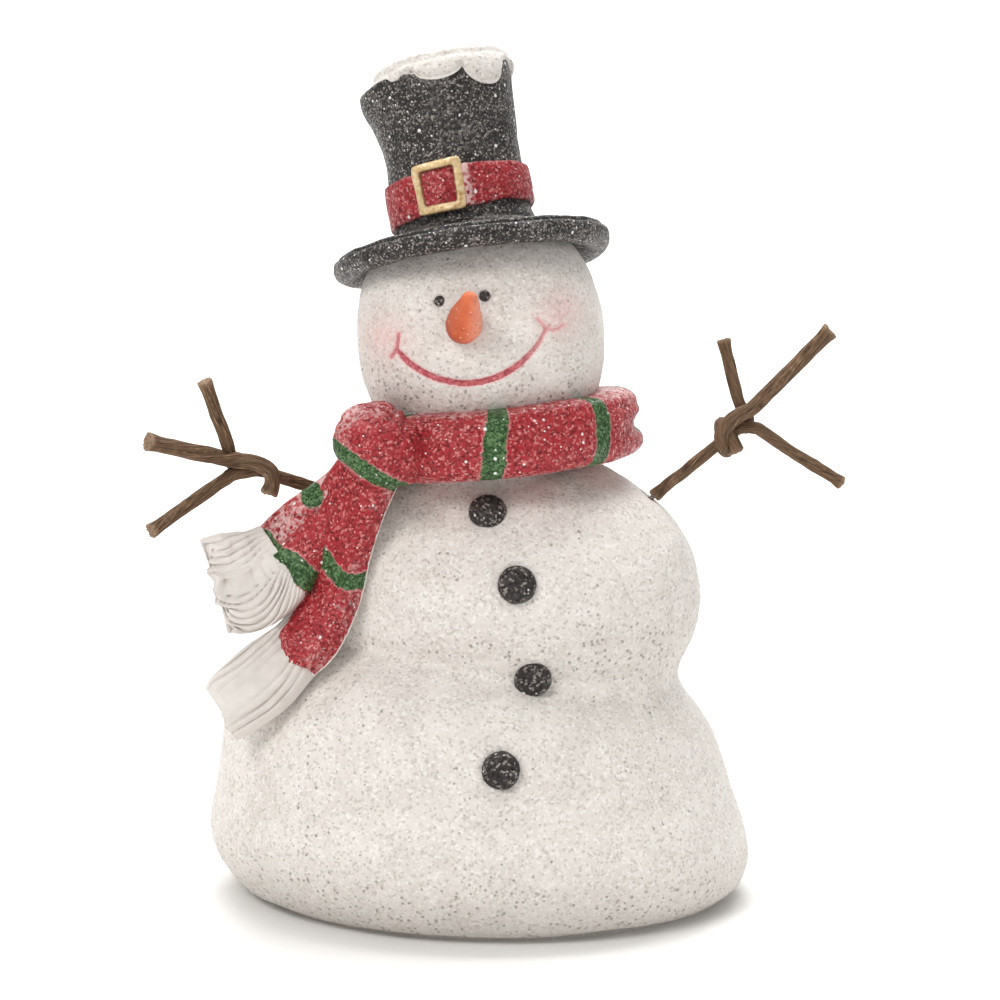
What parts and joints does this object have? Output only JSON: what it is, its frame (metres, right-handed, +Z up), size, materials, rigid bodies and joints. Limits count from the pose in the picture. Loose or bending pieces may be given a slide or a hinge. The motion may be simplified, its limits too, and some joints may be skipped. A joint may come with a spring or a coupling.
{
  "type": "snowman figure",
  "caption": "Small cast-resin snowman in a top hat and fringed scarf, frosted with glitter, with bendable paper-wrapped wire twig arms.",
  "frame": {"origin": "middle of the flat underside, on the surface the figure stands on", "axes": "+Z up, -Y the way the figure faces, +X to the viewer's right when facing it"},
  "size_m": [0.1541, 0.1052, 0.1909],
  "materials": {
    "snow": "painted cast resin, coarse glitter frost",
    "fringe": "painted cast resin, matt white",
    "scarf": "painted cast resin, red with green stripes and glitter",
    "button": "painted cast resin, black with glitter",
    "eye": "painted cast resin, black",
    "hat": "painted cast resin, black with silver glitter",
    "hat_band": "painted cast resin, red with glitter",
    "gold": "painted cast resin, worn gold",
    "nose": "painted cast resin, orange",
    "felt": "pale felt",
    "plug": "moulded plastic",
    "twig": "brown twisted paper",
    "arm_wire": "soft iron wire"
  },
  "bodies": {
    "figure": {"back_fringe": "fringe", "base_felt": "felt", "base_plug": "plug", "body_casting": "snow", "button_1": "button", "button_2": "button", "button_3": "button", "button_4": "button", "front_fringe": "fringe", "hat": "hat", "hat_band": "hat_band", "hat_buckle": "gold", "hat_snow": "snow", "head_casting": "snow", "left_arm_peg": "arm_wire", "left_eye": "eye", "nose": "nose", "right_arm_peg": "arm_wire", "right_eye": "eye", "scarf_back_tail": "scarf", "scarf_fold": "scarf", "scarf_front_tail": "scarf", "scarf_wrap": "scarf"},
    "left_arm": {"left_stem_twig": "twig", "left_stem_wire": "arm_wire", "left_knot": "twig"},
    "left_upper_finger": {"left_upper_twig": "twig", "left_upper_wire": "arm_wire"},
    "left_middle_finger": {"left_middle_twig": "twig", "left_middle_wire": "arm_wire"},
    "left_lower_finger": {"left_lower_twig": "twig", "left_lower_wire": "arm_wire"},
    "right_arm": {"right_stem_twig": "twig", "right_stem_wire": "arm_wire", "right_knot": "twig"},
    "right_upper_finger": {"right_upper_twig": "twig", "right_upper_wire": "arm_wire"},
    "right_middle_finger": {"right_middle_twig": "twig", "right_middle_wire": "arm_wire"},
    "right_lower_finger": {"right_lower_twig": "twig", "right_lower_wire": "arm_wire"}
  },
  "joints": [
    {"name": "left_arm_raise", "type": "hinge", "parent": "figure", "child": "left_arm", "pos_m": [-0.0311, -0.00633, 0.09089], "axis": [-0.4954, 0.8686, 0], "range_deg": [-3, 30]},
    {"name": "left_upper_bend", "type": "hinge", "parent": "left_arm", "child": "left_upper_finger", "pos_m": [-0.05051, -0.01817, 0.10312], "axis": [-0.4233, 0.8865, 0.1867], "range_deg": [-15, 15]},
    {"name": "left_middle_bend", "type": "hinge", "parent": "left_arm", "child": "left_middle_finger", "pos_m": [-0.05186, -0.01817, 0.10005], "axis": [-0.4233, 0.8865, 0.1867], "range_deg": [-15, 15]},
    {"name": "left_lower_bend", "type": "hinge", "parent": "left_arm", "child": "left_lower_finger", "pos_m": [-0.05321, -0.01817, 0.09699], "axis": [-0.4233, 0.8865, 0.1867], "range_deg": [-8, 15]},
    {"name": "right_arm_raise", "type": "hinge", "parent": "figure", "child": "right_arm", "pos_m": [0.03975, -0.00199, 0.0903], "axis": [-0.1104, -0.9939, 0], "range_deg": [-33, 25]},
    {"name": "right_upper_bend", "type": "hinge", "parent": "right_arm", "child": "right_upper_finger", "pos_m": [0.05872, -0.00433, 0.11032], "axis": [-0.065, -0.9964, -0.0545], "range_deg": [-15, 15]},
    {"name": "right_middle_bend", "type": "hinge", "parent": "right_arm", "child": "right_middle_finger", "pos_m": [0.06074, -0.00433, 0.10791], "axis": [-0.065, -0.9964, -0.0545], "range_deg": [-15, 15]},
    {"name": "right_lower_bend", "type": "hinge", "parent": "right_arm", "child": "right_lower_finger", "pos_m": [0.06277, -0.00433, 0.10549], "axis": [-0.065, -0.9964, -0.0545], "range_deg": [-15, 15]}
  ]
}
